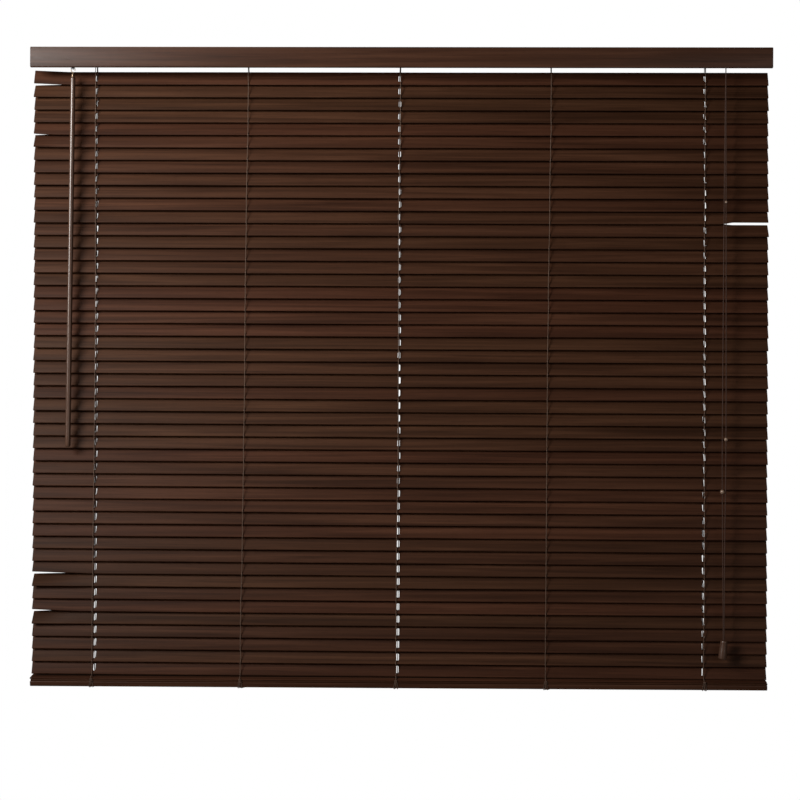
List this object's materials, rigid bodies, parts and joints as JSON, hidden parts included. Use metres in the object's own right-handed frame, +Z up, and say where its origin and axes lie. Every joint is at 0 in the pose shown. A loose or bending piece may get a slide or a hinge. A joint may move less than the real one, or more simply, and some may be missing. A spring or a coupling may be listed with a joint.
{
  "type": "wooden venetian blind",
  "caption": "Lowered wooden slat blind on a headrail with valance; all slats tilt together from a wand, cords run through them to a lock and tassel.",
  "frame": {"origin": "middle of the headrail's back face, the face that goes to the wall", "axes": "+X along the slats to the right seen from the room, +Y towards the wall, +Z up"},
  "size_m": [1.256, 0.05, 1.0881],
  "materials": {
    "slat_wood": "dark walnut brown stain under a satin lacquer, with fine lengthwise grain",
    "rail_wood": "the slats' dark walnut stain under a satin lacquer",
    "headrail_steel": "dark brown baked paint",
    "zinc_steel": "plain zinc plate",
    "hook_wire": "bronzed wire",
    "control_plastic": "brown moulded plastic",
    "cord_fibre": "brown braided polyester cord"
  },
  "bodies": {
    "root": {"headrail": "headrail_steel", "valance": "rail_wood", "tilter": "control_plastic", "cord_lock": "zinc_steel", "lift_cords": "cord_fibre", "tassel": "rail_wood"},
    "tilt_rod": {"tilt_rod": "zinc_steel"},
    "slat_01": {"slat_01": "slat_wood"},
    "slat_02": {"slat_02": "slat_wood"},
    "slat_03": {"slat_03": "slat_wood"},
    "slat_04": {"slat_04": "slat_wood"},
    "slat_05": {"slat_05": "slat_wood"},
    "slat_06": {"slat_06": "slat_wood"},
    "slat_07": {"slat_07": "slat_wood"},
    "slat_08": {"slat_08": "slat_wood"},
    "slat_09": {"slat_09": "slat_wood"},
    "slat_10": {"slat_10": "slat_wood"},
    "slat_11": {"slat_11": "slat_wood"},
    "slat_12": {"slat_12": "slat_wood"},
    "slat_13": {"slat_13": "slat_wood"},
    "slat_14": {"slat_14": "slat_wood"},
    "slat_15": {"slat_15": "slat_wood"},
    "slat_16": {"slat_16": "slat_wood"},
    "slat_17": {"slat_17": "slat_wood"},
    "slat_18": {"slat_18": "slat_wood"},
    "slat_19": {"slat_19": "slat_wood"},
    "slat_20": {"slat_20": "slat_wood"},
    "slat_21": {"slat_21": "slat_wood"},
    "slat_22": {"slat_22": "slat_wood"},
    "slat_23": {"slat_23": "slat_wood"},
    "slat_24": {"slat_24": "slat_wood"},
    "slat_25": {"slat_25": "slat_wood"},
    "slat_26": {"slat_26": "slat_wood"},
    "slat_27": {"slat_27": "slat_wood"},
    "slat_28": {"slat_28": "slat_wood"},
    "slat_29": {"slat_29": "slat_wood"},
    "slat_30": {"slat_30": "slat_wood"},
    "slat_31": {"slat_31": "slat_wood"},
    "slat_32": {"slat_32": "slat_wood"},
    "slat_33": {"slat_33": "slat_wood"},
    "slat_34": {"slat_34": "slat_wood"},
    "slat_35": {"slat_35": "slat_wood"},
    "slat_36": {"slat_36": "slat_wood"},
    "slat_37": {"slat_37": "slat_wood"},
    "slat_38": {"slat_38": "slat_wood"},
    "slat_39": {"slat_39": "slat_wood"},
    "slat_40": {"slat_40": "slat_wood"},
    "slat_41": {"slat_41": "slat_wood"},
    "slat_42": {"slat_42": "slat_wood"},
    "slat_43": {"slat_43": "slat_wood"},
    "slat_44": {"slat_44": "slat_wood"},
    "slat_45": {"slat_45": "slat_wood"},
    "slat_46": {"slat_46": "slat_wood"},
    "slat_47": {"slat_47": "slat_wood"},
    "slat_48": {"slat_48": "slat_wood"},
    "ladder_front": {"ladder_front": "cord_fibre"},
    "ladder_back": {"ladder_back": "cord_fibre"},
    "bottom_rail": {"bottom_rail": "rail_wood"},
    "wand_hook": {"wand_hook": "hook_wire"},
    "wand": {"wand": "rail_wood"}
  },
  "joints": [
    {"name": "tilt", "type": "hinge", "parent": "root", "child": "tilt_rod", "pos_m": [0, -0.0165, 0.0005], "axis": [-1, 0, 0], "range_deg": [0, 140]},
    {"name": "slat_01_tilt", "type": "hinge", "parent": "root", "child": "slat_01", "pos_m": [0, -0.0165, -0.0345], "axis": [-1, 0, 0], "range_deg": [0, 140]},
    {"name": "slat_02_tilt", "type": "hinge", "parent": "root", "child": "slat_02", "pos_m": [0, -0.0165, -0.056], "axis": [-1, 0, 0], "range_deg": [0, 140]},
    {"name": "slat_03_tilt", "type": "hinge", "parent": "root", "child": "slat_03", "pos_m": [0, -0.0165, -0.0775], "axis": [-1, 0, 0], "range_deg": [0, 140]},
    {"name": "slat_04_tilt", "type": "hinge", "parent": "root", "child": "slat_04", "pos_m": [0, -0.0165, -0.099], "axis": [-1, 0, 0], "range_deg": [0, 140]},
    {"name": "slat_05_tilt", "type": "hinge", "parent": "root", "child": "slat_05", "pos_m": [0, -0.0165, -0.1205], "axis": [-1, 0, 0], "range_deg": [0, 140]},
    {"name": "slat_06_tilt", "type": "hinge", "parent": "root", "child": "slat_06", "pos_m": [0, -0.0165, -0.142], "axis": [-1, 0, 0], "range_deg": [0, 140]},
    {"name": "slat_07_tilt", "type": "hinge", "parent": "root", "child": "slat_07", "pos_m": [0, -0.0165, -0.1635], "axis": [-1, 0, 0], "range_deg": [0, 140]},
    {"name": "slat_08_tilt", "type": "hinge", "parent": "root", "child": "slat_08", "pos_m": [0, -0.0165, -0.185], "axis": [-1, 0, 0], "range_deg": [0, 140]},
    {"name": "slat_09_tilt", "type": "hinge", "parent": "root", "child": "slat_09", "pos_m": [0, -0.0165, -0.2065], "axis": [-1, 0, 0], "range_deg": [0, 140]},
    {"name": "slat_10_tilt", "type": "hinge", "parent": "root", "child": "slat_10", "pos_m": [0, -0.0165, -0.228], "axis": [-1, 0, 0], "range_deg": [0, 140]},
    {"name": "slat_11_tilt", "type": "hinge", "parent": "root", "child": "slat_11", "pos_m": [0, -0.0165, -0.2495], "axis": [-1, 0, 0], "range_deg": [0, 140]},
    {"name": "slat_12_tilt", "type": "hinge", "parent": "root", "child": "slat_12", "pos_m": [0, -0.0165, -0.271], "axis": [-1, 0, 0], "range_deg": [0, 140]},
    {"name": "slat_13_tilt", "type": "hinge", "parent": "root", "child": "slat_13", "pos_m": [0, -0.0165, -0.2925], "axis": [-1, 0, 0], "range_deg": [0, 140]},
    {"name": "slat_14_tilt", "type": "hinge", "parent": "root", "child": "slat_14", "pos_m": [0, -0.0165, -0.314], "axis": [-1, 0, 0], "range_deg": [0, 140]},
    {"name": "slat_15_tilt", "type": "hinge", "parent": "root", "child": "slat_15", "pos_m": [0, -0.0165, -0.3355], "axis": [-1, 0, 0], "range_deg": [0, 140]},
    {"name": "slat_16_tilt", "type": "hinge", "parent": "root", "child": "slat_16", "pos_m": [0, -0.0165, -0.357], "axis": [-1, 0, 0], "range_deg": [0, 140]},
    {"name": "slat_17_tilt", "type": "hinge", "parent": "root", "child": "slat_17", "pos_m": [0, -0.0165, -0.3785], "axis": [-1, 0, 0], "range_deg": [0, 140]},
    {"name": "slat_18_tilt", "type": "hinge", "parent": "root", "child": "slat_18", "pos_m": [0, -0.0165, -0.4], "axis": [-1, 0, 0], "range_deg": [0, 140]},
    {"name": "slat_19_tilt", "type": "hinge", "parent": "root", "child": "slat_19", "pos_m": [0, -0.0165, -0.4215], "axis": [-1, 0, 0], "range_deg": [0, 140]},
    {"name": "slat_20_tilt", "type": "hinge", "parent": "root", "child": "slat_20", "pos_m": [0, -0.0165, -0.443], "axis": [-1, 0, 0], "range_deg": [0, 140]},
    {"name": "slat_21_tilt", "type": "hinge", "parent": "root", "child": "slat_21", "pos_m": [0, -0.0165, -0.4645], "axis": [-1, 0, 0], "range_deg": [0, 140]},
    {"name": "slat_22_tilt", "type": "hinge", "parent": "root", "child": "slat_22", "pos_m": [0, -0.0165, -0.486], "axis": [-1, 0, 0], "range_deg": [0, 140]},
    {"name": "slat_23_tilt", "type": "hinge", "parent": "root", "child": "slat_23", "pos_m": [0, -0.0165, -0.5075], "axis": [-1, 0, 0], "range_deg": [0, 140]},
    {"name": "slat_24_tilt", "type": "hinge", "parent": "root", "child": "slat_24", "pos_m": [0, -0.0165, -0.529], "axis": [-1, 0, 0], "range_deg": [0, 140]},
    {"name": "slat_25_tilt", "type": "hinge", "parent": "root", "child": "slat_25", "pos_m": [0, -0.0165, -0.5505], "axis": [-1, 0, 0], "range_deg": [0, 140]},
    {"name": "slat_26_tilt", "type": "hinge", "parent": "root", "child": "slat_26", "pos_m": [0, -0.0165, -0.572], "axis": [-1, 0, 0], "range_deg": [0, 140]},
    {"name": "slat_27_tilt", "type": "hinge", "parent": "root", "child": "slat_27", "pos_m": [0, -0.0165, -0.5935], "axis": [-1, 0, 0], "range_deg": [0, 140]},
    {"name": "slat_28_tilt", "type": "hinge", "parent": "root", "child": "slat_28", "pos_m": [0, -0.0165, -0.615], "axis": [-1, 0, 0], "range_deg": [0, 140]},
    {"name": "slat_29_tilt", "type": "hinge", "parent": "root", "child": "slat_29", "pos_m": [0, -0.0165, -0.6365], "axis": [-1, 0, 0], "range_deg": [0, 140]},
    {"name": "slat_30_tilt", "type": "hinge", "parent": "root", "child": "slat_30", "pos_m": [0, -0.0165, -0.658], "axis": [-1, 0, 0], "range_deg": [0, 140]},
    {"name": "slat_31_tilt", "type": "hinge", "parent": "root", "child": "slat_31", "pos_m": [0, -0.0165, -0.6795], "axis": [-1, 0, 0], "range_deg": [0, 140]},
    {"name": "slat_32_tilt", "type": "hinge", "parent": "root", "child": "slat_32", "pos_m": [0, -0.0165, -0.701], "axis": [-1, 0, 0], "range_deg": [0, 140]},
    {"name": "slat_33_tilt", "type": "hinge", "parent": "root", "child": "slat_33", "pos_m": [0, -0.0165, -0.7225], "axis": [-1, 0, 0], "range_deg": [0, 140]},
    {"name": "slat_34_tilt", "type": "hinge", "parent": "root", "child": "slat_34", "pos_m": [0, -0.0165, -0.744], "axis": [-1, 0, 0], "range_deg": [0, 140]},
    {"name": "slat_35_tilt", "type": "hinge", "parent": "root", "child": "slat_35", "pos_m": [0, -0.0165, -0.7655], "axis": [-1, 0, 0], "range_deg": [0, 140]},
    {"name": "slat_36_tilt", "type": "hinge", "parent": "root", "child": "slat_36", "pos_m": [0, -0.0165, -0.787], "axis": [-1, 0, 0], "range_deg": [0, 140]},
    {"name": "slat_37_tilt", "type": "hinge", "parent": "root", "child": "slat_37", "pos_m": [0, -0.0165, -0.8085], "axis": [-1, 0, 0], "range_deg": [0, 140]},
    {"name": "slat_38_tilt", "type": "hinge", "parent": "root", "child": "slat_38", "pos_m": [0, -0.0165, -0.83], "axis": [-1, 0, 0], "range_deg": [0, 140]},
    {"name": "slat_39_tilt", "type": "hinge", "parent": "root", "child": "slat_39", "pos_m": [0, -0.0165, -0.8515], "axis": [-1, 0, 0], "range_deg": [0, 140]},
    {"name": "slat_40_tilt", "type": "hinge", "parent": "root", "child": "slat_40", "pos_m": [0, -0.0165, -0.873], "axis": [-1, 0, 0], "range_deg": [0, 140]},
    {"name": "slat_41_tilt", "type": "hinge", "parent": "root", "child": "slat_41", "pos_m": [0, -0.0165, -0.8945], "axis": [-1, 0, 0], "range_deg": [0, 140]},
    {"name": "slat_42_tilt", "type": "hinge", "parent": "root", "child": "slat_42", "pos_m": [0, -0.0165, -0.916], "axis": [-1, 0, 0], "range_deg": [0, 140]},
    {"name": "slat_43_tilt", "type": "hinge", "parent": "root", "child": "slat_43", "pos_m": [0, -0.0165, -0.9375], "axis": [-1, 0, 0], "range_deg": [0, 140]},
    {"name": "slat_44_tilt", "type": "hinge", "parent": "root", "child": "slat_44", "pos_m": [0, -0.0165, -0.959], "axis": [-1, 0, 0], "range_deg": [0, 140]},
    {"name": "slat_45_tilt", "type": "hinge", "parent": "root", "child": "slat_45", "pos_m": [0, -0.0165, -0.9805], "axis": [-1, 0, 0], "range_deg": [0, 140]},
    {"name": "slat_46_tilt", "type": "hinge", "parent": "root", "child": "slat_46", "pos_m": [0, -0.0165, -1.002], "axis": [-1, 0, 0], "range_deg": [0, 140]},
    {"name": "slat_47_tilt", "type": "hinge", "parent": "root", "child": "slat_47", "pos_m": [0, -0.0165, -1.0235], "axis": [-1, 0, 0], "range_deg": [0, 140]},
    {"name": "slat_48_tilt", "type": "hinge", "parent": "root", "child": "slat_48", "pos_m": [0, -0.0165, -1.045], "axis": [-1, 0, 0], "range_deg": [0, 140]},
    {"name": "ladder_front_arc", "type": "hinge", "parent": "slat_01", "child": "ladder_front", "pos_m": [0, -0.0203, -0.04493], "axis": [-1, 0, 0], "range_deg": [-140, 0]},
    {"name": "ladder_back_arc", "type": "hinge", "parent": "slat_01", "child": "ladder_back", "pos_m": [0, -0.0127, -0.02407], "axis": [-1, 0, 0], "range_deg": [-140, 0]},
    {"name": "bottom_rail_tilt", "type": "hinge", "parent": "root", "child": "bottom_rail", "pos_m": [0, -0.0165, -1.06692], "axis": [-1, 0, 0], "range_deg": [0, 12.01]},
    {"name": "wand_swing", "type": "hinge", "parent": "root", "child": "wand_hook", "pos_m": [-0.5575, -0.0375, -0.021], "axis": [-1, 0, 0], "range_deg": [0, 45]},
    {"name": "wand_turn", "type": "hinge", "parent": "wand_hook", "child": "wand", "pos_m": [-0.55764, -0.0375, -0.037], "axis": [0.0087, 0, 1], "range_deg": [0, 1680]}
  ],
  "couplings": [
    {"joint": "slat_01_tilt", "follows": "tilt", "ratio": 1},
    {"joint": "slat_02_tilt", "follows": "tilt", "ratio": 1},
    {"joint": "slat_03_tilt", "follows": "tilt", "ratio": 1},
    {"joint": "slat_04_tilt", "follows": "tilt", "ratio": 1},
    {"joint": "slat_05_tilt", "follows": "tilt", "ratio": 1},
    {"joint": "slat_06_tilt", "follows": "tilt", "ratio": 1},
    {"joint": "slat_07_tilt", "follows": "tilt", "ratio": 1},
    {"joint": "slat_08_tilt", "follows": "tilt", "ratio": 1},
    {"joint": "slat_09_tilt", "follows": "tilt", "ratio": 1},
    {"joint": "slat_10_tilt", "follows": "tilt", "ratio": 1},
    {"joint": "slat_11_tilt", "follows": "tilt", "ratio": 1},
    {"joint": "slat_12_tilt", "follows": "tilt", "ratio": 1},
    {"joint": "slat_13_tilt", "follows": "tilt", "ratio": 1},
    {"joint": "slat_14_tilt", "follows": "tilt", "ratio": 1},
    {"joint": "slat_15_tilt", "follows": "tilt", "ratio": 1},
    {"joint": "slat_16_tilt", "follows": "tilt", "ratio": 1},
    {"joint": "slat_17_tilt", "follows": "tilt", "ratio": 1},
    {"joint": "slat_18_tilt", "follows": "tilt", "ratio": 1},
    {"joint": "slat_19_tilt", "follows": "tilt", "ratio": 1},
    {"joint": "slat_20_tilt", "follows": "tilt", "ratio": 1},
    {"joint": "slat_21_tilt", "follows": "tilt", "ratio": 1},
    {"joint": "slat_22_tilt", "follows": "tilt", "ratio": 1},
    {"joint": "slat_23_tilt", "follows": "tilt", "ratio": 1},
    {"joint": "slat_24_tilt", "follows": "tilt", "ratio": 1},
    {"joint": "slat_25_tilt", "follows": "tilt", "ratio": 1},
    {"joint": "slat_26_tilt", "follows": "tilt", "ratio": 1},
    {"joint": "slat_27_tilt", "follows": "tilt", "ratio": 1},
    {"joint": "slat_28_tilt", "follows": "tilt", "ratio": 1},
    {"joint": "slat_29_tilt", "follows": "tilt", "ratio": 1},
    {"joint": "slat_30_tilt", "follows": "tilt", "ratio": 1},
    {"joint": "slat_31_tilt", "follows": "tilt", "ratio": 1},
    {"joint": "slat_32_tilt", "follows": "tilt", "ratio": 1},
    {"joint": "slat_33_tilt", "follows": "tilt", "ratio": 1},
    {"joint": "slat_34_tilt", "follows": "tilt", "ratio": 1},
    {"joint": "slat_35_tilt", "follows": "tilt", "ratio": 1},
    {"joint": "slat_36_tilt", "follows": "tilt", "ratio": 1},
    {"joint": "slat_37_tilt", "follows": "tilt", "ratio": 1},
    {"joint": "slat_38_tilt", "follows": "tilt", "ratio": 1},
    {"joint": "slat_39_tilt", "follows": "tilt", "ratio": 1},
    {"joint": "slat_40_tilt", "follows": "tilt", "ratio": 1},
    {"joint": "slat_41_tilt", "follows": "tilt", "ratio": 1},
    {"joint": "slat_42_tilt", "follows": "tilt", "ratio": 1},
    {"joint": "slat_43_tilt", "follows": "tilt", "ratio": 1},
    {"joint": "slat_44_tilt", "follows": "tilt", "ratio": 1},
    {"joint": "slat_45_tilt", "follows": "tilt", "ratio": 1},
    {"joint": "slat_46_tilt", "follows": "tilt", "ratio": 1},
    {"joint": "slat_47_tilt", "follows": "tilt", "ratio": 1},
    {"joint": "slat_48_tilt", "follows": "tilt", "ratio": 1},
    {"joint": "ladder_front_arc", "follows": "tilt", "ratio": -1},
    {"joint": "ladder_back_arc", "follows": "tilt", "ratio": -1},
    {"joint": "bottom_rail_tilt", "follows": "tilt", "ratio": 0.0857},
    {"joint": "wand_turn", "follows": "tilt", "ratio": 12}
  ]
}
